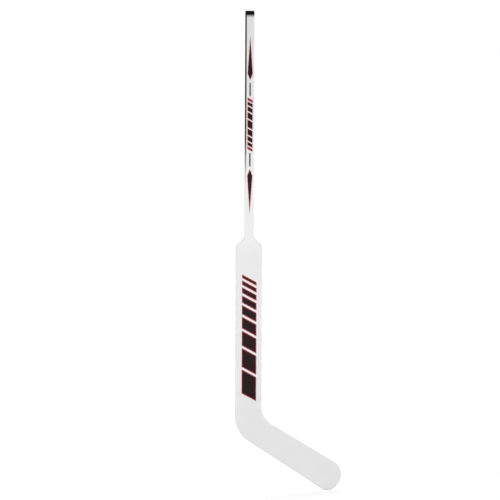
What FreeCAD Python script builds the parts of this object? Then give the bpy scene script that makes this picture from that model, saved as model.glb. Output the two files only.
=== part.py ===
import FreeCAD, Part
import math
import os
import Sketcher
from FreeCAD import Placement, Rotation, Vector

# Ice hockey goalie stick standing as it is held, in millimetres.
# +Z runs up the shaft, +X towards the toe of the blade, and -Y is the playing face.
# The origin is the middle of the shaft where the shoulders of the paddle begin.

DIMENSIONS = {
    "shaft_length": 764,           # shoulder to the end of the cap
    "shaft_width": 30,
    "stick_thickness": 21,         # shaft, paddle and heel are flush
    "edge_radius": 6,
    "skin_thickness": 0.8,         # glass fibre laminate all round
    "seam_height": 25,             # shoulder up to the joint of sleeve and skins
    "cap_height": 14,
    "cap_round": 3,
    "mortise_width": 15,           # socket for the cap in the end of the handle
    "mortise_thickness": 8,
    "mortise_depth": 30,
    "joint_clearance": 0.15,       # glue room all round a spigot or tongue
    "paddle_length": 660,          # shoulder to the corner of the heel
    "paddle_width": 89,
    "shoulder_inner_radius": 13,
    "shoulder_outer_radius": 12,
    "core_drop": 12,               # shoulder down to the top of the foam
    "ply_thickness": 3,            # face laminations of the handle
    "web_thickness": 1.5,          # ribs beside the handle inside the paddle
    "heel_block_rise": 115,        # corner of the heel up to the top of the block
    "tongue_length": 60,           # middle lamination let into the heel block
    "sole_angle": 32.8,            # degrees of the sole below the horizontal
    "blade_length": 391,
    "blade_root_height": 87,       # across the blade at the corner of the heel
    "blade_flare": 1.9,            # degrees the blade widens towards the toe
    "heel_radius": 99,
    "throat_radius": 72,
    "toe_bottom_radius": 42,
    "toe_flat": 9,                 # straight end of the toe between its two corners
    "blade_core_start": 120,       # heel corner to the end of the block, where the bend starts
    "curve_depth": 14,             # toe bent forward of the paddle
    "toe_thickness": 17,
    "blade_rib_thickness": 2.5,
    "blade_rib_tenon": 30,         # ribs let into the heel block
}

# Places that several pieces share, as expressions on the sheet
HANDLE_WIDTH = "(Dims.shaft_width - 2 * Dims.skin_thickness)"
HANDLE_THICKNESS = "(Dims.stick_thickness - 2 * Dims.skin_thickness)"
HANDLE_RADIUS = "(Dims.edge_radius - Dims.skin_thickness)"
HANDLE_TOP = "(Dims.shaft_length - Dims.cap_height)"
MIDDLE_PLY = f"({HANDLE_THICKNESS} - 2 * Dims.ply_thickness)"
HEEL_BLOCK_TOP = "(Dims.heel_block_rise - Dims.paddle_length)"
WEB_FACE = f"({HANDLE_WIDTH} / 2 + Dims.web_thickness)"
RIB_START = "(Dims.blade_core_start - Dims.blade_rib_tenon)"
FOAM_STRIP = "((Dims.blade_root_height - 2 * Dims.blade_rib_thickness) / 3)"
COS = "cos(Dims.sole_angle)"
SIN = "sin(Dims.sole_angle)"
FLARE = "tan(Dims.blade_flare)"

# Spans that clear the stick on every side
FAR = "(2 * (Dims.paddle_length + Dims.blade_length))"
DEEP = "(2 * (Dims.stick_thickness + Dims.curve_depth))"
BLADE_CLEAR = "(Dims.blade_length + Dims.toe_thickness)"

doc = FreeCAD.newDocument("goalie_stick")
sheet = doc.addObject("Spreadsheet::Sheet", "Dims")
for row, (alias, value) in enumerate(DIMENSIONS.items(), start=1):
    sheet.set(f"A{row}", alias)
    sheet.set(f"B{row}", str(value))
    sheet.setAlias(f"B{row}", alias)
doc.recompute()


def size(expression):
    """Number that an expression on the sheet stands for."""
    return float(sheet.evalExpression(expression))


def bind(thing, sizes):
    """Tie properties of a document object to expressions on the sheet."""
    for path, expression in sizes.items():
        thing.setExpression(path, expression)


def blade_point(along, across):
    """Front view place of a point given along the sole from the heel corner and across the blade."""
    x = f"-Dims.paddle_width / 2 + ({along}) * {COS} + ({across}) * {SIN}"
    z = f"-Dims.paddle_length - ({along}) * {SIN} + ({across}) * {COS}"
    return x, z


def blade_height(along):
    """Distance from the sole to the upper edge of the blade."""
    return f"(Dims.blade_root_height + ({along}) * {FLARE})"


def constrain(sketch, kind, *arguments):
    """Add a constraint; an expression at the end of its arguments drives it."""
    if isinstance(arguments[-1], str):
        datum = size(arguments[-1])
        number = sketch.addConstraint(Sketcher.Constraint(kind, *arguments[:-1], datum))
        sketch.setExpression(f"Constraints[{number}]", arguments[-1])
    else:
        sketch.addConstraint(Sketcher.Constraint(kind, *arguments))


def draw_outline(sketch, corners):
    """Closed outline through corners (x, y, radius) given as expressions; radius None is sharp."""
    count = len(corners)
    points = [Vector(size(x), size(y), 0) for x, y, _ in corners]
    radii = [size(radius) if radius else 0 for _, _, radius in corners]
    ways = [(points[(i + 1) % count] - points[i]).normalize() for i in range(count)]
    turns = [math.atan2(ways[i - 1].cross(ways[i]).z, ways[i - 1].dot(ways[i])) for i in range(count)]
    cuts = [radii[i] * math.tan(abs(turns[i]) / 2) for i in range(count)]
    sides = []
    for i in range(count):
        start = points[i] + ways[i] * cuts[i]
        end = points[(i + 1) % count] - ways[i] * cuts[(i + 1) % count]
        sides.append(sketch.addGeometry(Part.LineSegment(start, end)))
    for i, (x, y, radius) in enumerate(corners):
        before, after = sides[i - 1], sides[i]
        if radius is None:
            constrain(sketch, "Coincident", before, 2, after, 1)
            corner = (after, 1)
        else:
            left = turns[i] > 0
            inward = Vector(-ways[i].y, ways[i].x, 0) * math.copysign(radii[i], turns[i])
            centre = points[i] + ways[i] * cuts[i] + inward
            first = points[i] - ways[i - 1] * cuts[i] - centre
            start = math.atan2(first.y, first.x) + min(turns[i], 0)
            circle = Part.Circle(centre, Vector(0, 0, 1), radii[i])
            arc = sketch.addGeometry(Part.ArcOfCircle(circle, start, start + abs(turns[i])))
            corner = (sketch.addGeometry(Part.Point(points[i]), True), 1)
            constrain(sketch, "Tangent", before, 2, arc, 1 if left else 2)
            constrain(sketch, "Tangent", after, 1, arc, 2 if left else 1)
            constrain(sketch, "PointOnObject", *corner, before)
            constrain(sketch, "PointOnObject", *corner, after)
            constrain(sketch, "Radius", arc, radius)
        constrain(sketch, "DistanceX", -1, 1, *corner, x)
        constrain(sketch, "DistanceY", -1, 1, *corner, y)


def draw_rectangle(sketch, width, height, radius=None):
    """Rectangle about the middle of a sketch."""
    x, y = f"{width} / 2", f"{height} / 2"
    corners = [(x, y), (f"-{x}", y), (f"-{x}", f"-{y}"), (x, f"-{y}")]
    draw_outline(sketch, [(*corner, radius) for corner in corners])


def draw_bent_side(sketch, level, sag):
    """Line along the paddle at a level, then an arc that brings the toe forward by the sag."""
    run = "(Dims.blade_length - Dims.blade_core_start)"
    radius = f"({run}^2 + ({sag})^2) / (2 * ({sag}))"
    bend = Vector(size("Dims.blade_core_start"), size(level), 0)
    line = sketch.addGeometry(Part.LineSegment(Vector(-size(FAR), bend.y, 0), bend))
    circle = Part.Circle(bend - Vector(0, size(radius), 0), Vector(0, 0, 1), size(radius))
    tip = math.acos((size(BLADE_CLEAR) - bend.x) / size(radius))
    arc = sketch.addGeometry(Part.ArcOfCircle(circle, tip, math.pi / 2))
    constrain(sketch, "Tangent", line, 2, arc, 2)
    constrain(sketch, "Horizontal", line)
    constrain(sketch, "DistanceY", -1, 1, line, 1, level)
    constrain(sketch, "DistanceX", -1, 1, line, 1, f"-{FAR}")
    constrain(sketch, "DistanceX", -1, 1, line, 2, "Dims.blade_core_start")
    constrain(sketch, "DistanceX", -1, 1, arc, 1, BLADE_CLEAR)
    constrain(sketch, "Radius", arc, radius)
    return line, arc


def draw_side_view(sketch, front, rear):
    """Side view of the stick between two bent sides, each a level and a sag."""
    sketch.Placement = Placement(Vector(), Rotation(Vector(0, 1, 0), 1))
    bind(sketch, {
        "Placement.Base.x": "-Dims.paddle_width / 2",
        "Placement.Base.z": "-Dims.paddle_length",
        "Placement.Rotation.Angle": "Dims.sole_angle",
    })
    sides = [draw_bent_side(sketch, *front), draw_bent_side(sketch, *rear)]
    for part, end in ((0, 1), (1, 1)):
        first, second = sides[0][part], sides[1][part]
        ends = [sketch.getPoint(first, end), sketch.getPoint(second, end)]
        closing = sketch.addGeometry(Part.LineSegment(*ends))
        constrain(sketch, "Coincident", first, end, closing, 1)
        constrain(sketch, "Coincident", second, end, closing, 2)


def feature(kind, name, sizes={}, **links):
    """Document object with its links set and its sizes tied to the sheet."""
    thing = doc.addObject(kind, name)
    for link, target in links.items():
        setattr(thing, link, target)
    bind(thing, sizes)
    return thing


def inset(sketch):
    """Outline moved inwards by the skin."""
    sizes = {"Value": "-Dims.skin_thickness"}
    return feature("Part::Offset2D", f"{sketch.Name}_inset", sizes, Source=sketch, Mode="Pipe", Join="Arc")


def extrude(name, profile):
    """Profile drawn out far to both sides of its plane."""
    sizes = {"LengthFwd": f"2 * {FAR}"}
    return feature("Part::Extrusion", name, sizes, Base=profile, DirMode="Normal", Symmetric=True, Solid=True)


def common(name, first, second):
    return feature("Part::Common", name, Base=first, Tool=second)


def cut(name, stock, tool):
    return feature("Part::Cut", name, Base=stock, Tool=tool)


def block(name, xs, ys, zs, turned=False):
    """Box between expressions for its two ends on each axis; turned lays it along the blade."""
    box = feature("Part::Box", name)
    base_x, base_z = blade_point(xs[0], zs[0]) if turned else (xs[0], zs[0])
    if turned:
        box.Placement = Placement(Vector(), Rotation(Vector(0, 1, 0), 1))
        bind(box, {"Placement.Rotation.Angle": "Dims.sole_angle"})
    bind(box, {
        "Length": f"({xs[1]}) - ({xs[0]})",
        "Width": f"({ys[1]}) - ({ys[0]})",
        "Height": f"({zs[1]}) - ({zs[0]})",
        "Placement.Base.x": base_x,
        "Placement.Base.y": ys[0],
        "Placement.Base.z": base_z,
    })
    return box


def either_side(expression):
    """Span of that length with its middle at zero."""
    return f"-({expression}) / 2", f"({expression}) / 2"


def rim_edges(shape):
    """Names of the edges where the walls of the outline meet the front and rear faces."""
    names = []
    for number, edge in enumerate(shape.Edges, start=1):
        middle = edge.valueAt((edge.FirstParameter + edge.LastParameter) / 2)
        faces = shape.ancestorsOfType(edge, Part.Face)
        normals = [face.normalAt(*face.Surface.parameter(middle)) for face in faces]
        slopes = [abs(normal.y) for normal in normals]
        on_top = max(normal.z for normal in normals) > 0.99
        if min(slopes) < 0.5 < max(slopes) and not on_top:
            names.append(f"Edge{number}")
    return names


def rounded(name, stock, radius):
    """Body that rounds the rims of a crossed outline and side view."""
    body = feature("PartDesign::Body", name, BaseFeature=stock)
    doc.recompute()
    base = body.Group[0]
    fillet = body.newObject("PartDesign::Fillet", f"{name}_rims")
    fillet.Base = (base, rim_edges(base.Shape))
    bind(fillet, {"Radius": radius})
    return body


def section(body, name, height):
    """Sketch across the shaft at a height."""
    sketch = body.newObject("Sketcher::SketchObject", name)
    plane = next(item for item in body.Origin.OriginFeatures if item.Role == "XY_Plane")
    sketch.AttachmentSupport = [(plane, "")]
    sketch.MapMode = "FlatFace"
    bind(sketch, {"AttachmentOffset.Base.z": height})
    return sketch


def pad(body, sketch, length, down=False):
    """Section drawn up the shaft, or down it."""
    solid = body.newObject("PartDesign::Pad", f"{sketch.Name}_pad")
    solid.Profile = sketch
    solid.Reversed = down
    bind(solid, {"Length": length})
    return solid


# Front view of paddle and blade, from the seam under the sleeve to the toe
half_shaft = "Dims.shaft_width / 2"
half_paddle = "Dims.paddle_width / 2"
shoulder = "(Dims.shaft_width - Dims.paddle_width) / 2"
throat = f"(Dims.paddle_width - Dims.blade_root_height * {SIN}) / ({COS} + {FLARE} * {SIN})"
toe = "Dims.blade_length"
toe_height = blade_height(toe)
toe_top_radius = f"{toe_height} - Dims.toe_bottom_radius - Dims.toe_flat"
outline = feature("Sketcher::SketchObject", "front_view")
outline.Placement = Placement(Vector(), Rotation(Vector(1, 0, 0), 90))
draw_outline(outline, [
    (f"-{half_shaft}", "Dims.seam_height", None),
    (half_shaft, "Dims.seam_height", None),
    (half_shaft, "0", "Dims.shoulder_inner_radius"),
    (half_paddle, shoulder, "Dims.shoulder_outer_radius"),
    (half_paddle, blade_point(throat, blade_height(throat))[1], "Dims.throat_radius"),
    (*blade_point(toe, toe_height), toe_top_radius),
    (*blade_point(toe, "0"), "Dims.toe_bottom_radius"),
    (f"-{half_paddle}", "-Dims.paddle_length", "Dims.heel_radius"),
    (f"-{half_paddle}", shoulder, "Dims.shoulder_outer_radius"),
    (f"-{half_shaft}", "0", "Dims.shoulder_inner_radius"),
])

# Side views: the whole thickness, and everything in front of the parting line of the skins
front_level = "-Dims.stick_thickness / 2"
rear_level = "Dims.stick_thickness / 2"
rear_sag = "Dims.curve_depth + Dims.stick_thickness - Dims.toe_thickness"
parting_sag = "Dims.curve_depth + (Dims.stick_thickness - Dims.toe_thickness) / 2"
thickness = feature("Sketcher::SketchObject", "side_view")
draw_side_view(thickness, (front_level, "Dims.curve_depth"), (rear_level, rear_sag))
parting = feature("Sketcher::SketchObject", "parting_view")
draw_side_view(parting, (f"-{DEEP}", "Dims.curve_depth"), ("0", parting_sag))
front_half = extrude("front_half", parting)

# Outer form, and the core form one skin inside it
outer_stock = common("outer_stock", extrude("outer_front", outline), extrude("outer_side", thickness))
outer_form = rounded("outer_form", outer_stock, "Dims.edge_radius")
inner_front = extrude("inner_front", inset(outline))
inner_side = extrude("inner_side", inset(thickness))
inner_stock = common("inner_stock", inner_front, inner_side)
inner_form = rounded("inner_form", inner_stock, HANDLE_RADIUS)
all_round = (f"-{FAR}", FAR)
below_shoulder = block("below_shoulder", all_round, all_round, (f"-{FAR}", "-Dims.core_drop"))
core_form = common("core_form", inner_form, below_shoulder)

# Handle bar: rounded inside the sleeve, square where the paddle is built onto it
handle_bar = feature("PartDesign::Body", "handle_bar")
sleeve_section = section(handle_bar, "handle_in_sleeve", "-Dims.core_drop")
draw_rectangle(sleeve_section, HANDLE_WIDTH, HANDLE_THICKNESS, HANDLE_RADIUS)
pad(handle_bar, sleeve_section, f"{HANDLE_TOP} + Dims.core_drop")
paddle_section = section(handle_bar, "handle_in_paddle", "-Dims.core_drop")
draw_rectangle(paddle_section, HANDLE_WIDTH, HANDLE_THICKNESS)
pad(handle_bar, paddle_section, f"Dims.tongue_length - {HEEL_BLOCK_TOP} - Dims.core_drop", down=True)

# Handle laminations: the middle one carries the socket for the cap and the tongue for the heel
middle_span = either_side(MIDDLE_PLY)
above_heel = (HEEL_BLOCK_TOP, FAR)
middle_layer = block("middle_layer", all_round, middle_span, all_round)
middle_bar = common("middle_bar", handle_bar, middle_layer)
mortise = block(
    "mortise",
    either_side("Dims.mortise_width"),
    either_side("Dims.mortise_thickness"),
    (f"{HANDLE_TOP} - Dims.mortise_depth", FAR),
)
handle_middle = cut("handle_middle", middle_bar, mortise)
front_layer = block("front_layer", all_round, (f"-{FAR}", middle_span[0]), above_heel)
handle_front = common("handle_front", handle_bar, front_layer)
rear_layer = block("rear_layer", all_round, (middle_span[1], FAR), above_heel)
handle_rear = common("handle_rear", handle_bar, rear_layer)

# Sleeve of glass fibre round the shaft
shaft_sleeve = feature("PartDesign::Body", "shaft_sleeve")
tube = section(shaft_sleeve, "sleeve_section", "Dims.seam_height")
draw_rectangle(tube, "Dims.shaft_width", "Dims.stick_thickness", "Dims.edge_radius")
draw_rectangle(tube, HANDLE_WIDTH, HANDLE_THICKNESS, HANDLE_RADIUS)
pad(shaft_sleeve, tube, f"{HANDLE_TOP} - Dims.seam_height")

# Moulded cap with a spigot that is glued into the handle
butt_cap = feature("PartDesign::Body", "butt_cap")
cap_section = section(butt_cap, "cap_section", HANDLE_TOP)
draw_rectangle(cap_section, "Dims.shaft_width", "Dims.stick_thickness", "Dims.edge_radius")
pad(butt_cap, cap_section, "Dims.cap_height")
spigot_section = section(butt_cap, "spigot_section", HANDLE_TOP)
spigot_width = "(Dims.mortise_width - 2 * Dims.joint_clearance)"
spigot_thickness = "(Dims.mortise_thickness - 2 * Dims.joint_clearance)"
draw_rectangle(spigot_section, spigot_width, spigot_thickness)
spigot_pad = pad(butt_cap, spigot_section, "Dims.mortise_depth - Dims.joint_clearance", down=True)
doc.recompute()
end_height = size("Dims.shaft_length")
end_rim = []
for number, edge in enumerate(spigot_pad.Shape.Edges, start=1):
    if all(abs(vertex.Z - end_height) < 1e-6 for vertex in edge.Vertexes):
        end_rim.append(f"Edge{number}")
cap_fillet = butt_cap.newObject("PartDesign::Fillet", "cap_rim")
cap_fillet.Base = (spigot_pad, end_rim)
bind(cap_fillet, {"Radius": "Dims.cap_round"})

# Paddle: a web on each edge of the handle and a foam wing outside it
paddle_span = (HEEL_BLOCK_TOP, "-Dims.core_drop")
web_spans = {"left": (f"-{WEB_FACE}", f"-{HANDLE_WIDTH} / 2"), "right": (f"{HANDLE_WIDTH} / 2", WEB_FACE)}
wing_spans = {"left": (f"-{FAR}", f"-{WEB_FACE}"), "right": (WEB_FACE, FAR)}
paddle_pieces = {}
for side in ("left", "right"):
    web_block = block(f"web_block_{side}", web_spans[side], all_round, paddle_span)
    paddle_pieces[f"paddle_rib_{side}"] = common(f"paddle_rib_{side}", core_form, web_block)
    wing_block = block(f"wing_block_{side}", wing_spans[side], all_round, paddle_span)
    paddle_pieces[f"paddle_foam_{side}"] = common(f"paddle_foam_{side}", core_form, wing_block)

# Blade: two ribs let into the heel block, with a strip of foam below, between and above them
lower_rib = (FOAM_STRIP, f"{FOAM_STRIP} + Dims.blade_rib_thickness")
upper_rib = (f"2 * {FOAM_STRIP} + Dims.blade_rib_thickness", f"2 * ({FOAM_STRIP} + Dims.blade_rib_thickness)")
rib_run = (RIB_START, FAR)
foam_run = ("Dims.blade_core_start", FAR)
blade_layers = {
    "blade_rib_lower": (rib_run, lower_rib),
    "blade_rib_upper": (rib_run, upper_rib),
    "blade_foam_lower": (foam_run, (f"-{FAR}", lower_rib[0])),
    "blade_foam_middle": (foam_run, (lower_rib[1], upper_rib[0])),
    "blade_foam_upper": (foam_run, (upper_rib[1], FAR)),
}
blade_blocks = []
blade_pieces = {}
for name, (along, across) in blade_layers.items():
    blade_blocks.append(block(f"{name}_block", along, all_round, across, turned=True))
    blade_pieces[name] = common(name, core_form, blade_blocks[-1])

# Heel block between paddle and blade, slotted for the tongue of the handle
tongue_slot = block(
    "tongue_slot",
    either_side(f"{HANDLE_WIDTH} + 2 * Dims.joint_clearance"),
    either_side(f"{MIDDLE_PLY} + 2 * Dims.joint_clearance"),
    (f"{HEEL_BLOCK_TOP} - Dims.tongue_length - Dims.joint_clearance", FAR),
)
below_paddle = block("below_paddle", all_round, all_round, (f"-{FAR}", HEEL_BLOCK_TOP))
heel_stock = common("heel_stock", core_form, below_paddle)
heel_waste = feature("Part::MultiFuse", "heel_waste", Shapes=[tongue_slot, *blade_blocks])
heel_block = cut("heel_block", heel_stock, heel_waste)

# Moulded skins of paddle and blade, front and rear of the parting line
inside = feature("Part::MultiFuse", "inside", Shapes=[core_form, handle_bar])
front_skin = cut("front_skin", common("front_shell", outer_form, front_half), inside)
rear_skin = cut("rear_skin", cut("rear_shell", outer_form, front_half), inside)

PIECES = {
    "butt_cap": butt_cap,
    "shaft_sleeve": shaft_sleeve,
    "handle_middle_ply": handle_middle,
    "handle_front_ply": handle_front,
    "handle_rear_ply": handle_rear,
    **paddle_pieces,
    "heel_block": heel_block,
    **blade_pieces,
    "front_skin": front_skin,
    "rear_skin": rear_skin,
}
doc.recompute()
for thing in doc.Objects:
    if "Invalid" in thing.State or "Error" in thing.State:
        raise RuntimeError(f"{thing.Name} did not compute")

os.makedirs("parts", exist_ok=True)
for name, piece in PIECES.items():
    piece.Label = name
    if piece.Shape.isNull() or not piece.Shape.isValid() or len(piece.Shape.Solids) != 1:
        raise RuntimeError(f"{name} is not one sound solid")
    piece.Shape.exportStep(f"parts/{name}.step")
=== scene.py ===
"""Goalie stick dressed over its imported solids: lacquered shells, sprayed shaft, moulded cap and prints."""
import math

import bmesh
import bpy
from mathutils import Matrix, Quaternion, Vector


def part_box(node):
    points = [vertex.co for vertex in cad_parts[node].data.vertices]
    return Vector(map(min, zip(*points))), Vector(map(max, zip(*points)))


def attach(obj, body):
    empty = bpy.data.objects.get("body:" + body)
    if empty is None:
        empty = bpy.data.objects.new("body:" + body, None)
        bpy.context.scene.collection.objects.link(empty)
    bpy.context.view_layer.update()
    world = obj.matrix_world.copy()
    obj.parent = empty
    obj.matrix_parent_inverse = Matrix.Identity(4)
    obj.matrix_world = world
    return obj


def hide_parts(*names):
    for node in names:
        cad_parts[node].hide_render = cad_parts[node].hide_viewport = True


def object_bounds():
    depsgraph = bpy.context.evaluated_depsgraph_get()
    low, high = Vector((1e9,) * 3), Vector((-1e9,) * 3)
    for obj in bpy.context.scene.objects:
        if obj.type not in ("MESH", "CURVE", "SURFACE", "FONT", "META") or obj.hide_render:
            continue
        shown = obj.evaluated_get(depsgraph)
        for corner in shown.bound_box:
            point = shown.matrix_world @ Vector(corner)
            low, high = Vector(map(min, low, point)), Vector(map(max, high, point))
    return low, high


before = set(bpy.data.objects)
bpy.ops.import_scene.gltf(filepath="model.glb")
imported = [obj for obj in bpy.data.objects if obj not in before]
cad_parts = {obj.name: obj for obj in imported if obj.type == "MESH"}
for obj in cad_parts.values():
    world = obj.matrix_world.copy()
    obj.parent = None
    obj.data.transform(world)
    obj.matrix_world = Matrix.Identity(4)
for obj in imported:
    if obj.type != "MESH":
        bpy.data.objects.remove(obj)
cad_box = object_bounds()
scene = bpy.context.scene
scene.view_settings.view_transform = "Standard"

# Sizes of the stick in metres, as in the part's source
MM = 0.001
SHAFT_WIDTH = 30 * MM
STICK_THICKNESS = 21 * MM
HALF_THICKNESS = STICK_THICKNESS / 2
EDGE_RADIUS = 6 * MM
SKIN_THICKNESS = 0.8 * MM
SEAM_HEIGHT = 25 * MM          # shoulders up to the joint of tube and shells
CAP_HEIGHT = 14 * MM
CAP_ROUND = 3 * MM
PADDLE_LENGTH = 660 * MM       # shoulders to the corner of the heel
PADDLE_WIDTH = 89 * MM
SHOULDER_INNER_RADIUS = 13 * MM
SHOULDER_OUTER_RADIUS = 12 * MM
SOLE_ANGLE = math.radians(32.8)
BLADE_LENGTH = 391 * MM
BLADE_ROOT_HEIGHT = 87 * MM    # across the blade at the corner of the heel
BLADE_FLARE = math.tan(math.radians(1.9))
HEEL_RADIUS = 99 * MM
THROAT_RADIUS = 72 * MM
TOE_BOTTOM_RADIUS = 42 * MM
TOE_FLAT = 9 * MM              # straight end of the toe between its two corners
BEND_START = 120 * MM          # along the sole, where the blade begins to bend
CURVE_DEPTH = 14 * MM          # toe bent forward of the paddle
TOE_THICKNESS = 17 * MM
SHAFT_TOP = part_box("butt_cap")[1].z
TUBE_TOP = SHAFT_TOP - CAP_HEIGHT

# Directions along the sole to the toe and across the blade to its upper edge, from the corner of the heel
HEEL_CORNER = Vector((-PADDLE_WIDTH / 2, 0, -PADDLE_LENGTH))
ALONG = Vector((math.cos(SOLE_ANGLE), 0, -math.sin(SOLE_ANGLE)))
ACROSS = Vector((math.sin(SOLE_ANGLE), 0, math.cos(SOLE_ANGLE)))
UP = Vector((0, 0, 1))

# Details of the modelled pieces, and how finely they are divided
PARTING_CHAMFER = 0.3 * MM
CAP_GAP = 0.8 * MM             # shadow line between cap and tube
CAP_DISH = 1 * MM
SPIGOT_WIDTH = 14.7 * MM
SPIGOT_THICKNESS = 7.7 * MM
SPIGOT_LENGTH = 29.8 * MM
STEP_ANGLE = math.radians(3)   # turn of one facet round a corner of the outline
RIM_STEPS = 8                  # facets round a rim, or round a corner of shaft or cap
SMOOTH_ANGLE = math.radians(40)
LONG_CUT = 60 * MM             # spacing of the cuts that keep the faces of paddle and shaft short
BEND_CUT = 15 * MM             # the same where the blade bends
NEAR = 0.01 * MM               # places closer than this are the same
Y_AXIS = 1
Z_AXIS = 2
UPRIGHT = (math.pi / 2, 0, 0)  # turns a new plane to face the front

# Printed bars, lances and pinstripes
INK_BED = 0.05 * MM            # ink let into the lacquer
INK_FILM = 0.15 * MM           # each layer of ink, drawn thick enough to stay clear of the one below
PRINT_SLANT = math.radians(28)
PADDLE_PRINT_TOP = -140 * MM
PADDLE_PRINT_WIDTH = 50 * MM
PADDLE_BARS = 9
PADDLE_BAR = 12 * MM           # height of the first bar
PADDLE_BAR_GROWTH = 1.27       # each bar's height over that of the one above
PADDLE_BAR_GAP = 8 * MM
PADDLE_KEYLINE = 3 * MM
SHAFT_PRINT_TOP = 679 * MM
SHAFT_PRINT_WIDTH = 18 * MM
SHAFT_PRINT_GAP = 9 * MM       # between lances, pinstripes and bars
SHAFT_KEYLINE = 1.8 * MM
LANCE_LENGTH = 150 * MM
LANCE_TAIL = 0.15              # share of a lance from its tail to its widest place
PINSTRIPE_LENGTH = 45 * MM
PINSTRIPE_WIDTH = 5 * MM
SHAFT_BARS = [9 * MM, 12 * MM, 16 * MM, 21 * MM, 26 * MM]
SHAFT_BAR_GAP = 4 * MM
ONE_INK_BAR = 9 * MM           # bars up to this height are printed in red alone

# Patterns in the materials
BAND = 2 * math.pi / 20        # period of a wave texture at scale 1
CLOUD_SIZE = 60 * MM
CLOTH_PITCH = 2.6 * MM         # real cloth has threads about 1 mm apart, too fine to show
PEEL_SIZE = 3 * MM
LACQUER_RELIEF = 0.05 * MM
DROPLET_SIZE = 3 * MM          # real spray is finer than this
SPRAY_SCATTER = 30 * MM        # how far droplets stray along the fade
EDGE_SCATTER = 0.3 * MM        # and across its edge
SIDE_FADE_START = 345 * MM     # height where the black of the narrow sides begins to fade
SIDE_FADE_END = 140 * MM
SIDE_EDGE = 11.6 * MM          # from the middle of the shaft to the edge of the black
SIDE_BLUR = 1 * MM
MASK_EDGE = 4.4 * MM           # the black goes round one corner of each side and stops short of the other
CAP_DARK_BAND = 11 * MM
CAP_GRAIN = 1.2 * MM           # real grain is about 0.2 mm
CAP_RELIEF = 0.25 * MM
INK_MOTTLE = 9 * MM
INK_RELIEF = 0.1 * MM
GRAIN_STRETCH = 0.06           # wood is drawn out this much along its grain
FIBRE_SIZE = 0.8 * MM
FIBRE_RELIEF = 0.1 * MM
TOW_WIDTH = 2 * MM
TOW_RELIEF = 0.1 * MM
FOAM_CELL = 1.5 * MM
FOAM_RELIEF = 0.4 * MM

# Studio
LENS = 200
FRAME_WIDTH = 1.69             # across the picture at the stick
CAMERA_SWING = math.radians(11)
CAMERA_ROLL = math.radians(0.25)
CAMERA_TARGET = Vector((4 * MM, 0, -44.2 * MM))
FLOOR_SIZE = 60
FLOOR_LIFT = 0.15              # glow of the floor round the stick, low enough to show its shadow
SHADOW_REACH = 0.3             # the floor starts to fade to white here
WHITE_REACH = 1.5              # and is plain white from here on
AMBIENT_LEVEL = 0.5            # light from all round, where 1 is white


# Modelling helpers

def pick(piece):
    """Make a piece the active one and the only one selected."""
    bpy.ops.object.select_all(action="DESELECT")
    bpy.context.view_layer.objects.active = piece
    piece.select_set(True)


def start_piece(name, add_primitive, **settings):
    """Add a primitive with nothing else selected, name it and open it for editing."""
    bpy.ops.object.select_all(action="DESELECT")
    add_primitive(**settings)
    piece = bpy.context.object
    piece.name = piece.data.name = name
    bpy.ops.object.transform_apply(location=True, rotation=True, scale=True)
    bpy.ops.object.mode_set(mode="EDIT")
    return piece


def open_piece(piece):
    """Open a finished piece for editing, all of it selected."""
    pick(piece)
    bpy.ops.object.mode_set(mode="EDIT")
    bpy.ops.mesh.select_all(action="SELECT")


def close_piece():
    """Close the piece that is open for editing."""
    bpy.ops.object.mode_set(mode="OBJECT")


def copy_piece(piece, name):
    """Copy a piece with a mesh of its own."""
    twin = piece.copy()
    twin.data = piece.data.copy()
    twin.name = twin.data.name = name
    scene.collection.objects.link(twin)
    return twin


def join_pieces(name, pieces):
    """Join pieces into one."""
    pick(pieces[0])
    for piece in pieces[1:]:
        piece.select_set(True)
    bpy.ops.object.join()
    whole = bpy.context.object
    whole.name = whole.data.name = name
    return whole


def select(kind, test):
    """Select the vertices, edges or faces of the open piece that pass a test."""
    bpy.ops.mesh.select_mode(type=kind)
    bpy.ops.mesh.select_all(action="DESELECT")
    mesh = bmesh.from_edit_mesh(bpy.context.object.data)
    mesh.normal_update()
    parts = {"VERT": mesh.verts, "EDGE": mesh.edges, "FACE": mesh.faces}[kind]
    for part in parts:
        if test(part):
            part.select_set(True)
    mesh.select_flush_mode()
    bmesh.update_edit_mesh(bpy.context.object.data)


def at(part, axis, level):
    """True if every vertex of an edge or face lies at a level on an axis."""
    return all(abs(vertex.co[axis] - level) < NEAR for vertex in part.verts)


def move_corner(old, new):
    """Move one vertex of the open piece to a new place."""
    select("VERT", lambda vertex: (vertex.co - old).length < NEAR)
    bpy.ops.transform.translate(value=new - old)


def stations(start, end, spacing):
    """Even places from a start to just before an end, at most the spacing apart."""
    count = math.ceil((end - start) / spacing)
    return [start + (end - start) * number / count for number in range(count)]


def cut_across(place, normal):
    """Cut all faces of the open piece at a plane."""
    bpy.ops.mesh.select_all(action="SELECT")
    bpy.ops.mesh.bisect(plane_co=place, plane_no=normal)


def apply_modifier(piece, kind, **settings):
    """Add a modifier to a piece and apply it."""
    pick(piece)
    modifier = piece.modifiers.new(kind.lower(), kind)
    for name, value in settings.items():
        setattr(modifier, name, value)
    bpy.ops.object.modifier_apply(modifier=modifier.name)


def thicken(piece):
    """Give an open skin its wall, inwards."""
    apply_modifier(piece, "SOLIDIFY", thickness=SKIN_THICKNESS, offset=-1, use_even_offset=True)


def shade(piece):
    """Smooth shading that keeps flat faces flat beside their rounded edges."""
    pick(piece)
    bpy.ops.object.shade_smooth_by_angle(angle=SMOOTH_ANGLE)
    apply_modifier(piece, "WEIGHTED_NORMAL", keep_sharp=True)


# Shells of paddle and blade

def blade_height(along):
    """Distance from the sole to the upper edge of the blade."""
    return BLADE_ROOT_HEIGHT + along * BLADE_FLARE


def blade_point(along, across):
    """Place of a point given along the sole and across the blade."""
    return HEEL_CORNER + ALONG * along + ACROSS * across


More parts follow.
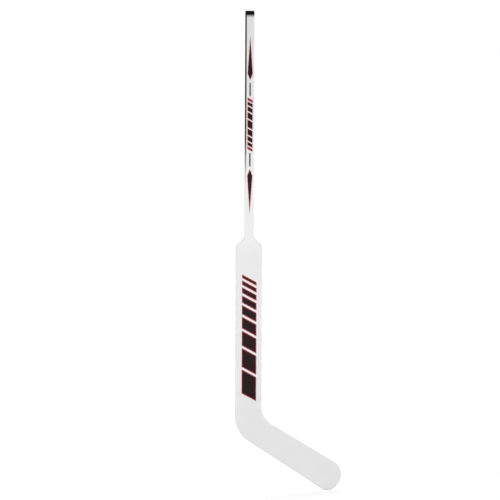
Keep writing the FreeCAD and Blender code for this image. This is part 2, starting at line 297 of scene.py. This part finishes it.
def draw_out(left, right):
    """Draw the lowest edge of the outline out to a new pair of corners."""
    mesh = bmesh.from_edit_mesh(bpy.context.object.data)
    lowest = min(mesh.edges, key=lambda edge: sum(vertex.co.z for vertex in edge.verts))
    old = sorted((vertex.co.copy() for vertex in lowest.verts), key=lambda place: place.x)
    select("EDGE", lambda edge: edge == lowest)
    bpy.ops.mesh.extrude_edges_move(TRANSFORM_OT_translate={"value": left - old[0]})
    move_corner(old[1] + left - old[0], right)


def round_corner(corner, radius):
    """Bevel one corner of the flat outline to a true radius."""
    mesh = bmesh.from_edit_mesh(bpy.context.object.data)
    vertex = min(mesh.verts, key=lambda part: (part.co - corner).length)
    arms = [edge.other_vert(vertex).co - vertex.co for edge in vertex.link_edges]
    select("VERT", lambda part: part == vertex)
    half = arms[0].angle(arms[1]) / 2
    # This profile brings the middle of the bevel onto the circle, whatever the angle of the corner
    profile = (1 - 0.5 / (1 + math.sin(half))) ** 2
    bpy.ops.mesh.bevel(
        affect="VERTICES",
        offset=radius / math.tan(half),
        segments=math.ceil((math.pi - 2 * half) / STEP_ANGLE),
        profile=profile,
        clamp_overlap=False,
    )


def model_half_shell():
    """Flat front half of the skin: outline, wall, rounded rim and a fine chamfer along the parting line."""
    half_shaft = SHAFT_WIDTH / 2
    half_paddle = PADDLE_WIDTH / 2
    shoulder = half_shaft - half_paddle
    throat = (PADDLE_WIDTH - BLADE_ROOT_HEIGHT * ACROSS.x) / (ALONG.x + BLADE_FLARE * ACROSS.x)
    throat_corner = blade_point(throat, blade_height(throat))
    toe_height = blade_height(BLADE_LENGTH)
    toe_bottom = blade_point(BLADE_LENGTH, 0)
    toe_top = blade_point(BLADE_LENGTH, toe_height)

    # Outline from a plane at the shaft, drawn out to the shoulders, the heel and the toe
    piece = start_piece("front_shell", bpy.ops.mesh.primitive_plane_add, size=SHAFT_WIDTH, rotation=UPRIGHT)
    select("EDGE", lambda edge: at(edge, Z_AXIS, -half_shaft))
    bpy.ops.transform.translate(value=(0, 0, half_shaft))
    select("EDGE", lambda edge: at(edge, Z_AXIS, half_shaft))
    bpy.ops.transform.translate(value=(0, 0, SEAM_HEIGHT - half_shaft))
    draw_out(Vector((-half_paddle, 0, shoulder)), Vector((half_paddle, 0, shoulder)))
    draw_out(HEEL_CORNER, throat_corner)
    draw_out(toe_bottom, toe_top)
    select("EDGE", lambda edge: not edge.is_boundary)
    bpy.ops.mesh.dissolve_edges(use_verts=False)
    for side in (-1, 1):
        round_corner(Vector((side * half_shaft, 0, 0)), SHOULDER_INNER_RADIUS)
        round_corner(Vector((side * half_paddle, 0, shoulder)), SHOULDER_OUTER_RADIUS)
    round_corner(HEEL_CORNER, HEEL_RADIUS)
    round_corner(throat_corner, THROAT_RADIUS)
    round_corner(toe_bottom, TOE_BOTTOM_RADIUS)
    round_corner(toe_top, toe_height - TOE_BOTTOM_RADIUS - TOE_FLAT)

    # Wall up to the face, open at the seam with the shaft and along the parting line
    bpy.ops.mesh.select_all(action="SELECT")
    bpy.ops.mesh.extrude_region_move(TRANSFORM_OT_translate={"value": (0, -HALF_THICKNESS, 0)})
    select("FACE", lambda face: at(face, Y_AXIS, 0) or at(face, Z_AXIS, SEAM_HEIGHT))
    bpy.ops.mesh.delete(type="FACE")
    select("EDGE", lambda edge: at(edge, Y_AXIS, -HALF_THICKNESS) and not edge.is_boundary)
    bpy.ops.mesh.bevel(offset=EDGE_RADIUS, segments=RIM_STEPS, clamp_overlap=False)

    # Chamfer that leaves a fine groove where the two halves meet
    select("EDGE", lambda edge: at(edge, Y_AXIS, 0))
    bpy.ops.transform.translate(value=(0, -PARTING_CHAMFER, 0))
    select("EDGE", lambda edge: at(edge, Y_AXIS, -PARTING_CHAMFER))
    bpy.ops.mesh.extrude_edges_move(TRANSFORM_OT_translate={"value": (0, PARTING_CHAMFER, 0)})
    bpy.ops.transform.shrink_fatten(value=-PARTING_CHAMFER)

    for depth in stations(0, PADDLE_LENGTH - HEEL_RADIUS, LONG_CUT):
        cut_across(-depth * UP, UP)
    for along in stations(BEND_START, BLADE_LENGTH, BEND_CUT):
        cut_across(blade_point(along, 0), ALONG)
    close_piece()
    return piece


def mirror_to_rear(piece, name):
    """Copy of the flat front half on the rear side of the parting line."""
    twin = copy_piece(piece, name)
    open_piece(twin)
    bpy.ops.transform.resize(value=(1, -1, 1), center_override=(0, 0, 0))
    bpy.ops.mesh.normals_make_consistent(inside=False)
    close_piece()
    return twin


def sag(along, depth):
    """How far an arc that reaches a depth at the toe has left the straight line."""
    run = BLADE_LENGTH - BEND_START
    radius = (run ** 2 + depth ** 2) / (2 * depth)
    beyond = max(along - BEND_START, 0)
    return radius - math.sqrt(radius ** 2 - beyond ** 2)


def bow_blade(piece):
    """Bring the toe forward on an arc and thin the blade towards it."""
    taper = (STICK_THICKNESS - TOE_THICKNESS) / 2
    for vertex in piece.data.vertices:
        along = (vertex.co - HEEL_CORNER).dot(ALONG)
        middle = sag(along, CURVE_DEPTH + taper)
        face = sag(along, CURVE_DEPTH)
        vertex.co.y = vertex.co.y * (1 - (middle - face) / HALF_THICKNESS) - middle


front_shell = model_half_shell()
rear_shell = mirror_to_rear(front_shell, "rear_shell")
for shell in (front_shell, rear_shell):
    bow_blade(shell)
    thicken(shell)
    shade(shell)


# Tube round the shaft

def model_shaft_tube():
    """Rounded rectangular tube from the seam with the shells up to the cap."""
    length = TUBE_TOP - SEAM_HEIGHT
    piece = start_piece(
        "shaft_tube",
        bpy.ops.mesh.primitive_cube_add,
        size=1,
        location=(0, 0, SEAM_HEIGHT + length / 2),
        scale=(SHAFT_WIDTH, STICK_THICKNESS, length),
    )
    select("FACE", lambda face: at(face, Z_AXIS, SEAM_HEIGHT) or at(face, Z_AXIS, TUBE_TOP))
    bpy.ops.mesh.delete(type="FACE")
    select("EDGE", lambda edge: edge.calc_length() > length - NEAR)
    bpy.ops.mesh.bevel(offset=EDGE_RADIUS, segments=RIM_STEPS)
    for height in stations(SEAM_HEIGHT, TUBE_TOP, LONG_CUT)[1:]:
        cut_across(height * UP, UP)
    close_piece()
    thicken(piece)
    shade(piece)
    return piece


shaft_tube = model_shaft_tube()


# Cap on the end of the shaft

def model_end_cap():
    """Moulded cap: rounded block with a dished end, a shadow gap above the tube and a spigot below it."""
    height = CAP_HEIGHT - CAP_GAP
    bottom = TUBE_TOP + CAP_GAP
    piece = start_piece(
        "end_cap",
        bpy.ops.mesh.primitive_cube_add,
        size=1,
        location=(0, 0, bottom + height / 2),
        scale=(SHAFT_WIDTH, STICK_THICKNESS, height),
    )
    select("EDGE", lambda edge: not at(edge, Z_AXIS, bottom) and not at(edge, Z_AXIS, SHAFT_TOP))
    bpy.ops.mesh.bevel(offset=EDGE_RADIUS, segments=RIM_STEPS)
    select("EDGE", lambda edge: at(edge, Z_AXIS, SHAFT_TOP))
    bpy.ops.mesh.bevel(offset=CAP_ROUND, segments=RIM_STEPS)
    select("EDGE", lambda edge: at(edge, Z_AXIS, bottom))
    bpy.ops.mesh.bevel(offset=CAP_GAP / 2, segments=2)

    # Shallow dish left by the mould in the end face
    select("FACE", lambda face: at(face, Z_AXIS, SHAFT_TOP))
    bpy.ops.mesh.inset(thickness=CAP_ROUND / 2)
    bpy.ops.mesh.inset(thickness=CAP_DISH)
    bpy.ops.transform.translate(value=(0, 0, -CAP_DISH))

    # Neck in the shadow gap, and a spigot drawn from what bevel and insets leave of the bottom
    select("FACE", lambda face: at(face, Z_AXIS, bottom))
    bpy.ops.mesh.inset(thickness=CAP_GAP / 2)
    bpy.ops.mesh.extrude_region_move(TRANSFORM_OT_translate={"value": (0, 0, -CAP_GAP)})
    bpy.ops.mesh.inset(thickness=CAP_GAP)
    left_width = SHAFT_WIDTH - CAP_GAP * 4
    left_thickness = STICK_THICKNESS - CAP_GAP * 4
    bpy.ops.transform.resize(value=(SPIGOT_WIDTH / left_width, SPIGOT_THICKNESS / left_thickness, 1))
    bpy.ops.mesh.extrude_region_move(TRANSFORM_OT_translate={"value": (0, 0, -SPIGOT_LENGTH)})
    close_piece()
    shade(piece)
    return piece


end_cap = model_end_cap()


# Materials

def linear(code):
    """Linear colour of an sRGB hex code."""
    shares = [int(code[place:place + 2], 16) / 255 for place in (1, 3, 5)]
    return [share / 12.92 if share <= 0.04045 else ((share + 0.055) / 1.055) ** 2.4 for share in shares] + [1]


def set_inputs(tree, node, inputs):
    """Give inputs of a node their links and values."""
    for socket, value in inputs.items():
        if isinstance(value, bpy.types.NodeSocket):
            tree.links.new(value, node.inputs[socket])
        else:
            node.inputs[socket].default_value = value


def add_node(tree, kind, inputs=None, **settings):
    """Add a node with its settings, links and values."""
    node = tree.nodes.new(kind)
    for name, value in settings.items():
        setattr(node, name, value)
    set_inputs(tree, node, inputs or {})
    return node


def new_material(name, constants):
    """Material with its shader's constants set, and the place on the stick to draw patterns by."""
    material = bpy.data.materials.new(name)
    material.use_nodes = True
    tree = material.node_tree
    shader = tree.nodes["Principled BSDF"]
    set_inputs(tree, shader, constants)
    place = add_node(tree, "ShaderNodeTexCoord").outputs["Object"]
    return material, tree, shader, place


def white_lacquer(tree, place):
    """White lacquer sprayed over glass cloth: slightly cloudy, with orange peel and the cloth just showing.
    It is painted paler on the shaft as a painted highlight, and a shade greyer below the shoulders as painted
    shade."""
    cloud = add_node(tree, "ShaderNodeTexNoise", {"Vector": place, "Scale": 1 / CLOUD_SIZE, "Detail": 3})
    # Painted light: a paler white on the shaft stands for a highlight, a greyer white below the shoulders for
    # shade
    shaft_white_painted_highlight = add_node(tree, "ShaderNodeMixRGB", {
        "Fac": cloud.outputs[0],
        "Color1": linear("#E8E8E8"),
        "Color2": linear("#F0F0F0"),
    })
    paddle_white_painted_shade = add_node(tree, "ShaderNodeMixRGB", {
        "Fac": cloud.outputs[0],
        "Color1": linear("#E2E2E2"),
        "Color2": linear("#E9E9E9"),
    })
    axes = add_node(tree, "ShaderNodeSeparateXYZ", {0: place})
    # Blend by height from the painted highlight of the shaft to the painted shade below the shoulders
    down = add_node(tree, "ShaderNodeMapRange", {
        "Value": axes.outputs["Z"],
        "From Min": SEAM_HEIGHT,
        "From Max": -PADDLE_WIDTH,
    }, interpolation_type="SMOOTHSTEP")
    white = add_node(tree, "ShaderNodeMixRGB", {
        "Fac": down.outputs[0],
        "Color1": shaft_white_painted_highlight.outputs[0],
        "Color2": paddle_white_painted_shade.outputs[0],
    })
    yarns = {"Vector": place, "Scale": BAND / CLOTH_PITCH}
    warp = add_node(tree, "ShaderNodeTexWave", yarns, bands_direction="X")
    weft = add_node(tree, "ShaderNodeTexWave", yarns, bands_direction="Z")
    cloth = add_node(tree, "ShaderNodeMath", {0: warp.outputs[1], 1: weft.outputs[1]}, operation="MULTIPLY")
    threads = add_node(tree, "ShaderNodeMapRange", {
        "Value": cloth.outputs[0],
        "To Min": 1,
        "To Max": 0.975,
    })
    woven = add_node(tree, "ShaderNodeMixRGB", {
        "Fac": 1,
        "Color1": white.outputs[0],
        "Color2": threads.outputs[0],
    }, blend_type="MULTIPLY")
    gloss = add_node(tree, "ShaderNodeMapRange", {
        "Value": cloud.outputs[0],
        "To Min": 0.26,
        "To Max": 0.36,
    })
    peel = add_node(tree, "ShaderNodeTexNoise", {"Vector": place, "Scale": 1 / PEEL_SIZE, "Detail": 1})
    relief = add_node(tree, "ShaderNodeMath", {0: cloth.outputs[0], 1: peel.outputs[0]}, operation="ADD")
    bump = add_node(tree, "ShaderNodeBump", {
        "Height": relief.outputs[0],
        "Strength": 0.6,
        "Distance": LACQUER_RELIEF,
    })
    return {"Base Color": woven.outputs[0], "Roughness": gloss.outputs[0], "Normal": bump.outputs[0]}


def make_face_lacquer():
    """Lacquered skins of paddle and blade: plain white, bright and smooth, paler at the rims."""
    constants = {"IOR": 1.45, "Specular IOR Level": 0.3}
    material, tree, shader, place = new_material("lacquered_glass_fibre", constants)
    set_inputs(tree, shader, white_lacquer(tree, place))
    return material


def make_shaft_lacquer():
    """Lacquered shaft: white faces, black spray that fades down the narrow sides, a dark band just under the
    cap.
    """
    constants = {"IOR": 1.45, "Specular IOR Level": 0.25}
    material, tree, shader, place = new_material("sprayed_shaft_lacquer", constants)
    lacquer = white_lacquer(tree, place)
    axes = add_node(tree, "ShaderNodeSeparateXYZ", {0: place})

    # Fade down the shaft, broken up by stray droplets
    droplets = add_node(tree, "ShaderNodeTexNoise", {
        "Vector": place,
        "Scale": 1 / DROPLET_SIZE,
        "Detail": 2,
    })
    scatter = add_node(tree, "ShaderNodeMapRange", {
        "Value": droplets.outputs[0],
        "To Min": -SPRAY_SCATTER,
        "To Max": SPRAY_SCATTER,
    })
    height = add_node(tree, "ShaderNodeMath", {
        0: axes.outputs["Z"],
        1: scatter.outputs[0],
    }, operation="ADD")
    fade = add_node(tree, "ShaderNodeMapRange", {
        "Value": height.outputs[0],
        "From Min": SIDE_FADE_END,
        "From Max": SIDE_FADE_START,
    }, interpolation_type="SMOOTHSTEP")

    # Narrow sides, up to a frayed edge on the faces
    beside = add_node(tree, "ShaderNodeMath", {0: axes.outputs["X"]}, operation="ABSOLUTE")
    frayed = add_node(tree, "ShaderNodeMath", {
        0: scatter.outputs[0],
        1: EDGE_SCATTER / SPRAY_SCATTER,
        2: beside.outputs[0],
    }, operation="MULTIPLY_ADD")
    side = add_node(tree, "ShaderNodeMapRange", {
        "Value": frayed.outputs[0],
        "From Min": SIDE_EDGE,
        "From Max": SIDE_EDGE + SIDE_BLUR,
    }, interpolation_type="SMOOTHSTEP")

    # The corner of each side that was masked is where x times y is far below zero
    corner = add_node(tree, "ShaderNodeMath", {
        0: axes.outputs["X"],
        1: axes.outputs["Y"],
    }, operation="MULTIPLY")
    unmasked = add_node(tree, "ShaderNodeMapRange", {
        "Value": corner.outputs[0],
        "From Min": -SHAFT_WIDTH / 2 * MASK_EDGE,
        "From Max": -SHAFT_WIDTH / 2 * (MASK_EDGE - SIDE_BLUR),
    })
    open_side = add_node(tree, "ShaderNodeMath", {
        0: side.outputs[0],
        1: unmasked.outputs[0],
    }, operation="MULTIPLY")
    sprayed = add_node(tree, "ShaderNodeMath", {
        0: open_side.outputs[0],
        1: fade.outputs[0],
    }, operation="MULTIPLY")

    # Dark grey band at the top of the tube, fading out downwards below the cap
    dark_band_under_cap = add_node(tree, "ShaderNodeMapRange", {
        "Value": axes.outputs["Z"],
        "From Min": TUBE_TOP - CAP_DARK_BAND,
        "From Max": TUBE_TOP,
        "To Max": 0.75,
    }, interpolation_type="SMOOTHSTEP")
    cover = add_node(tree, "ShaderNodeMath", {
        0: sprayed.outputs[0],
        1: dark_band_under_cap.outputs[0],
    }, operation="MAXIMUM")
    colour = add_node(tree, "ShaderNodeMixRGB", {
        "Fac": cover.outputs[0],
        "Color1": lacquer["Base Color"],
        "Color2": linear("#141315"),
    })
    dull = add_node(tree, "ShaderNodeMapRange", {
        "Value": cover.outputs[0],
        "To Min": lacquer["Roughness"],
        "To Max": 0.8,
    })
    set_inputs(tree, shader, {
        "Base Color": colour.outputs[0],
        "Roughness": dull.outputs[0],
        "Normal": lacquer["Normal"],
    })
    return material


def make_cap_plastic():
    """Black thermoplastic moulded in a spark-eroded tool: dark satin with a fine even grain."""
    constants = {"IOR": 1.48, "Specular IOR Level": 0.04}
    material, tree, shader, place = new_material("moulded_black_thermoplastic", constants)
    grain = add_node(tree, "ShaderNodeTexNoise", {"Vector": place, "Scale": 1 / CAP_GRAIN, "Detail": 4})
    colour = add_node(tree, "ShaderNodeMixRGB", {
        "Fac": grain.outputs[0],
        "Color1": linear("#0D0D0F"),
        "Color2": linear("#151517"),
    })
    rough = add_node(tree, "ShaderNodeMapRange", {
        "Value": grain.outputs[0],
        "To Min": 0.5,
        "To Max": 0.66,
    })
    bump = add_node(tree, "ShaderNodeBump", {
        "Height": grain.outputs[0],
        "Strength": 0.8,
        "Distance": CAP_RELIEF,
    })
    set_inputs(tree, shader, {
        "Base Color": colour.outputs[0],
        "Roughness": rough.outputs[0],
        "Normal": bump.outputs[0],
    })
    return material


def make_ink(name, dark, light):
    """Screen ink under clear lacquer: one strong colour, a little uneven where the squeegee passed."""
    constants = {"IOR": 1.48, "Specular IOR Level": 0.08}
    material, tree, shader, place = new_material(name, constants)
    film = add_node(tree, "ShaderNodeTexNoise", {"Vector": place, "Scale": 1 / INK_MOTTLE, "Detail": 4})
    colour = add_node(tree, "ShaderNodeMixRGB", {
        "Fac": film.outputs[0],
        "Color1": linear(dark),
        "Color2": linear(light),
    })
    rough = add_node(tree, "ShaderNodeMapRange", {
        "Value": film.outputs[0],
        "To Min": 0.3,
        "To Max": 0.55,
    })
    bump = add_node(tree, "ShaderNodeBump", {
        "Height": film.outputs[0],
        "Strength": 0.5,
        "Distance": INK_RELIEF,
    })
    set_inputs(tree, shader, {
        "Base Color": colour.outputs[0],
        "Roughness": rough.outputs[0],
        "Normal": bump.outputs[0],
    })
    return material


def make_wood(name, pale, dark, ring_width, turn):
    """Planed wood: fibres and growth rings drawn out along the grain, matt, with a faint open grain."""
    material, tree, shader, place = new_material(name, {"IOR": 1.45, "Roughness": 0.7})
    laid = add_node(tree, "ShaderNodeMapping", {
        "Vector": place,
        "Rotation": (0, turn, 0),
        "Scale": (1, 1, GRAIN_STRETCH),
    })
    rings = add_node(tree, "ShaderNodeTexWave", {
        "Vector": laid.outputs[0],
        "Scale": BAND / ring_width,
        "Distortion": 4,
        "Detail": 3,
        "Detail Scale": 1.5,
    }, bands_direction="X")
    fibres = add_node(tree, "ShaderNodeTexNoise", {
        "Vector": laid.outputs[0],
        "Scale": 1 / FIBRE_SIZE,
        "Detail": 4,
    })
    mixed = add_node(tree, "ShaderNodeMath", {
        0: rings.outputs[1],
        1: fibres.outputs[0],
    }, operation="MULTIPLY")
    colour = add_node(tree, "ShaderNodeMixRGB", {
        "Fac": mixed.outputs[0],
        "Color1": linear(pale),
        "Color2": linear(dark),
    })
    bump = add_node(tree, "ShaderNodeBump", {
        "Height": fibres.outputs[0],
        "Strength": 0.3,
        "Distance": FIBRE_RELIEF,
    })
    set_inputs(tree, shader, {"Base Color": colour.outputs[0], "Normal": bump.outputs[0]})
    return material


def make_rib_laminate():
    """Glass and carbon laminate of the ribs: dark woven tows crossing at right angles under clear resin."""
    material, tree, shader, place = new_material("woven_rib_laminate", {"IOR": 1.55, "Roughness": 0.35})
    squares = add_node(tree, "ShaderNodeTexChecker", {
        "Vector": place,
        "Scale": 1 / TOW_WIDTH,
        "Color1": linear("#232427"),
        "Color2": linear("#34363A"),
    })
    bump = add_node(tree, "ShaderNodeBump", {
        "Height": squares.outputs[1],
        "Strength": 0.3,
        "Distance": TOW_RELIEF,
    })
    set_inputs(tree, shader, {"Base Color": squares.outputs[0], "Normal": bump.outputs[0]})
    return material


def make_core_foam():
    """Rigid polyurethane foam, cut: pale straw colour, open cells with thin walls and painted shade in each
    cell's hollow, quite matt.
    """
    material, tree, shader, place = new_material("cut_polyurethane_foam", {"IOR": 1.4, "Roughness": 0.9})
    cells = add_node(tree, "ShaderNodeTexVoronoi", {"Vector": place, "Scale": 1 / FOAM_CELL})
    # Painted shade: darker towards the middle of each cell, where the bump sinks it into a hollow
    colour = add_node(tree, "ShaderNodeMixRGB", {
        "Fac": cells.outputs["Distance"],
        "Color1": linear("#C9B98C"),
        "Color2": linear("#E6DBB8"),
    })
    bump = add_node(tree, "ShaderNodeBump", {
        "Height": cells.outputs["Distance"],
        "Strength": 0.6,
        "Distance": FOAM_RELIEF,
    })
    set_inputs(tree, shader, {"Base Color": colour.outputs[0], "Normal": bump.outputs[0]})
    return material


face_lacquer = make_face_lacquer()
shaft_lacquer = make_shaft_lacquer()
cap_plastic = make_cap_plastic()
black_ink = make_ink("black_screen_ink", "#140A0B", "#261718")
red_ink = make_ink("dark_red_screen_ink", "#8E1626", "#AE2A3B")
grey_ink = make_ink("grey_screen_ink", "#4A4B4D", "#58595B")
aspen = make_wood("planed_aspen", "#E8DCC2", "#C7B089", ring_width=3 * MM, turn=0)
birch = make_wood("planed_birch", "#E3CDA4", "#B9935F", ring_width=2 * MM, turn=0)
along_sole = math.pi / 2 + SOLE_ANGLE
basswood = make_wood("planed_basswood", "#E6D6B4", "#C9AE80", ring_width=4 * MM, turn=along_sole)
rib_laminate = make_rib_laminate()
core_foam = make_core_foam()

NODE_MATERIALS = {
    "butt_cap": cap_plastic,
    "shaft_sleeve": shaft_lacquer,
    "front_skin": face_lacquer,
    "rear_skin": face_lacquer,
    "handle_middle_ply": aspen,
    "handle_front_ply": birch,
    "handle_rear_ply": birch,
    "heel_block": basswood,
    "paddle_rib_left": rib_laminate,
    "paddle_rib_right": rib_laminate,
    "blade_rib_lower": rib_laminate,
    "blade_rib_upper": rib_laminate,
    "paddle_foam_left": core_foam,
    "paddle_foam_right": core_foam,
    "blade_foam_lower": core_foam,
    "blade_foam_middle": core_foam,
    "blade_foam_upper": core_foam,
}
for name, material in NODE_MATERIALS.items():
    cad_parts[name].material_slots[0].material = material


# Prints on paddle and shaft

def add_print(corners, ink, keyline=0, inner_ink=None):
    """Film of ink through four corners on the front face, with a second ink inside its keyline, if any."""
    bed = -HALF_THICKNESS + INK_BED
    film = -HALF_THICKNESS - INK_FILM
    piece = start_piece(
        "print",
        bpy.ops.mesh.primitive_plane_add,
        size=1,
        location=(0, bed, 0),
        rotation=UPRIGHT,
    )
    plane_corners = ((-0.5, 0.5), (0.5, 0.5), (0.5, -0.5), (-0.5, -0.5))
    for (old_x, old_z), (x, z) in zip(plane_corners, corners):
        move_corner(Vector((old_x, bed, old_z)), Vector((x, bed, z)))
    bpy.ops.mesh.select_all(action="SELECT")
    bpy.ops.mesh.extrude_region_move(TRANSFORM_OT_translate={"value": (0, film - bed, 0)})
    bpy.ops.mesh.select_all(action="SELECT")
    bpy.ops.mesh.normals_make_consistent(inside=False)
    piece.data.materials.append(ink)
    if keyline:
        piece.data.materials.append(inner_ink)
        select("FACE", lambda face: at(face, Y_AXIS, film))
        bpy.ops.mesh.inset(thickness=keyline)
        bpy.ops.mesh.extrude_region_move(TRANSFORM_OT_translate={"value": (0, -INK_FILM, 0)})
        select("FACE", lambda face: face.calc_center_median().y < film - NEAR)
        piece.active_material_index = 1
        bpy.ops.object.material_slot_assign()
    close_piece()
    return piece


def slanted_bar(top, height, width):
    """Corners of a bar with upright sides and slanted ends that fall to the right."""
    half = width / 2
    fall = half * math.tan(PRINT_SLANT)
    bottom = top - height
    return [(-half, top + fall), (half, top - fall), (half, bottom - fall), (-half, bottom + fall)]


def lance(tip, tail):
    """Corners of a long kite on the shaft, from its tip to its tail."""
    half = SHAFT_PRINT_WIDTH / 2
    widest = tail + (tip - tail) * LANCE_TAIL
    return [(-half, widest), (0, max(tip, tail)), (half, widest), (0, min(tip, tail))]


def print_paddle():
    """Slanted bars that grow from the shoulders down to the heel."""
    bars = []
    top = PADDLE_PRINT_TOP
    height = PADDLE_BAR
    for _ in range(PADDLE_BARS):
        corners = slanted_bar(top, height, PADDLE_PRINT_WIDTH)
        bars.append(add_print(corners, red_ink, PADDLE_KEYLINE, black_ink))
        top -= height + PADDLE_BAR_GAP
        height *= PADDLE_BAR_GROWTH
    return join_pieces("paddle_print_front", bars)


def print_shaft():
    """A lance at each end pointing outwards, a pinstripe inside each, and bars that swell in the middle."""
    one_ink = (red_ink,)
    two_inks = (red_ink, SHAFT_KEYLINE, black_ink)
    top = SHAFT_PRINT_TOP
    shapes = [(lance(top, top - LANCE_LENGTH), two_inks)]
    top -= LANCE_LENGTH + SHAFT_PRINT_GAP
    shapes.append((slanted_bar(top, PINSTRIPE_LENGTH, PINSTRIPE_WIDTH), (grey_ink,)))
    top -= PINSTRIPE_LENGTH + SHAFT_PRINT_GAP
    for height in SHAFT_BARS + SHAFT_BARS[-2::-1]:
        inks = two_inks if height > ONE_INK_BAR else one_ink
        shapes.append((slanted_bar(top, height, SHAFT_PRINT_WIDTH), inks))
        top -= height + SHAFT_BAR_GAP
    top += SHAFT_BAR_GAP - SHAFT_PRINT_GAP
    shapes.append((slanted_bar(top, PINSTRIPE_LENGTH, PINSTRIPE_WIDTH), (grey_ink,)))
    top -= PINSTRIPE_LENGTH + SHAFT_PRINT_GAP
    shapes.append((lance(top - LANCE_LENGTH, top), two_inks))
    return join_pieces("shaft_print_front", [add_print(corners, *inks) for corners, inks in shapes])


def print_rear(piece, name):
    """The same print on the rear face, turned half round the shaft."""
    twin = copy_piece(piece, name)
    open_piece(twin)
    bpy.ops.transform.rotate(value=math.pi, orient_axis="Z", center_override=(0, 0, 0))
    close_piece()
    return twin


paddle_print_front = print_paddle()
shaft_print_front = print_shaft()
paddle_print_rear = print_rear(paddle_print_front, "paddle_print_rear")
shaft_print_rear = print_rear(shaft_print_front, "shaft_print_rear")

# What each piece is made of and rides on, with the imported solids it replaces hidden
front_shell.data.materials.append(face_lacquer)
rear_shell.data.materials.append(face_lacquer)
shaft_tube.data.materials.append(shaft_lacquer)
end_cap.data.materials.append(cap_plastic)
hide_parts("front_skin")
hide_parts("rear_skin")
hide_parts("shaft_sleeve")
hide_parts("butt_cap")
PIECE_SLOTS = {
    front_shell: "face_laminate",
    rear_shell: "face_laminate",
    shaft_tube: "shaft_laminate",
    end_cap: "cap_plastic",
    paddle_print_front: "face_laminate",
    paddle_print_rear: "face_laminate",
    shaft_print_front: "shaft_laminate",
    shaft_print_rear: "shaft_laminate",
}
for piece, slot in PIECE_SLOTS.items():
    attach(piece, "root")


# Studio

def seen_as_white(tree):
    """1 for what the camera sees directly, in a reflection or through glass, and 0 for light on the stick."""
    rays = add_node(tree, "ShaderNodeLightPath")
    direct_or_glossy = add_node(tree, "ShaderNodeMath", {
        0: rays.outputs["Is Camera Ray"],
        1: rays.outputs["Is Glossy Ray"],
    }, operation="MAXIMUM")
    seen = add_node(tree, "ShaderNodeMath", {
        0: direct_or_glossy.outputs[0],
        1: rays.outputs["Is Transmission Ray"],
    }, operation="MAXIMUM")
    return seen.outputs[0]


def make_floor():
    """Pale matt floor that keeps the shadow of the stick and fades, for the camera, to plain white."""
    bpy.ops.object.select_all(action="DESELECT")
    bpy.ops.mesh.primitive_plane_add(size=FLOOR_SIZE, location=(0, 0, cad_box[0][2]))
    floor = bpy.context.object
    floor.name = "floor"
    material, tree, shader, place = new_material("studio_floor", {
        "Roughness": 0.9,
        "Specular IOR Level": 0.1,
        "Emission Color": linear("#FFFFFF"),
    })
    seen = seen_as_white(tree)
    away = add_node(tree, "ShaderNodeVectorMath", {0: place}, operation="LENGTH")
    fade = add_node(tree, "ShaderNodeMapRange", {
        "Value": away.outputs["Value"],
        "From Min": SHADOW_REACH,
        "From Max": WHITE_REACH,
        "To Max": seen,
    })
    matt = add_node(tree, "ShaderNodeMixRGB", {
        "Fac": fade.outputs[0],
        "Color1": linear("#F4F4F4"),
        "Color2": linear("#000000"),
    })
    lift = add_node(tree, "ShaderNodeMath", {0: seen, 1: FLOOR_LIFT}, operation="MULTIPLY")
    glow = add_node(tree, "ShaderNodeMapRange", {"Value": fade.outputs[0], "To Min": lift.outputs[0]})
    set_inputs(tree, shader, {"Base Color": matt.outputs[0], "Emission Strength": glow.outputs[0]})
    floor.data.materials.append(material)


def make_world():
    """White all round for the camera and for reflections, and a soft level of light from every side."""
    scene.world = bpy.data.worlds.new("studio")
    scene.world.use_nodes = True
    tree = scene.world.node_tree
    level = add_node(tree, "ShaderNodeMapRange", {"Value": seen_as_white(tree), "To Min": AMBIENT_LEVEL})
    background = tree.nodes["Background"]
    set_inputs(tree, background, {"Color": linear("#FFFFFF"), "Strength": level.outputs[0]})


def add_softbox(name, place, target, width, height, power):
    """Soft lamp facing a target."""
    data = bpy.data.lights.new(name, "AREA")
    data.shape = "RECTANGLE"
    data.size = width
    data.size_y = height
    data.energy = power
    lamp = bpy.data.objects.new(name, data)
    lamp.location = place
    lamp.rotation_euler = (Vector(target) - Vector(place)).to_track_quat("-Z", "Y").to_euler()
    scene.collection.objects.link(lamp)


def place_camera():
    """Long lens level with the middle of the stick, a little to the left of square on and a touch tilted."""
    data = bpy.data.cameras.new("camera")
    data.lens = LENS
    data.clip_end = 100
    camera = bpy.data.objects.new("camera", data)
    view = Vector((math.sin(CAMERA_SWING), math.cos(CAMERA_SWING), 0))
    camera.location = CAMERA_TARGET - view * (FRAME_WIDTH * LENS / data.sensor_width)
    camera.rotation_mode = "QUATERNION"
    camera.rotation_quaternion = view.to_track_quat("-Z", "Y") @ Quaternion((0, 0, 1), CAMERA_ROLL)
    scene.collection.objects.link(camera)
    scene.camera = camera


make_floor()
make_world()
add_softbox("front_softbox", place=(0.2, -1.8, 0), target=(0, 0, 0), width=1, height=1, power=11)
add_softbox("rear_softbox", place=(0.4, 1.5, 0), target=(0, 0, 0), width=1, height=1, power=10)
for name, x, power in (("left_strip_light", -1.6, 10.5), ("right_strip_light", 1.6, 6.5)):
    add_softbox(name, place=(x, -0.3, -0.1), target=(0, 0, -0.1), width=0.6, height=2, power=power)
add_softbox("top_strip_light", place=(0.1, 0, 1.9), target=(0.1, 0, 0), width=2, height=0.2, power=7)
place_camera()
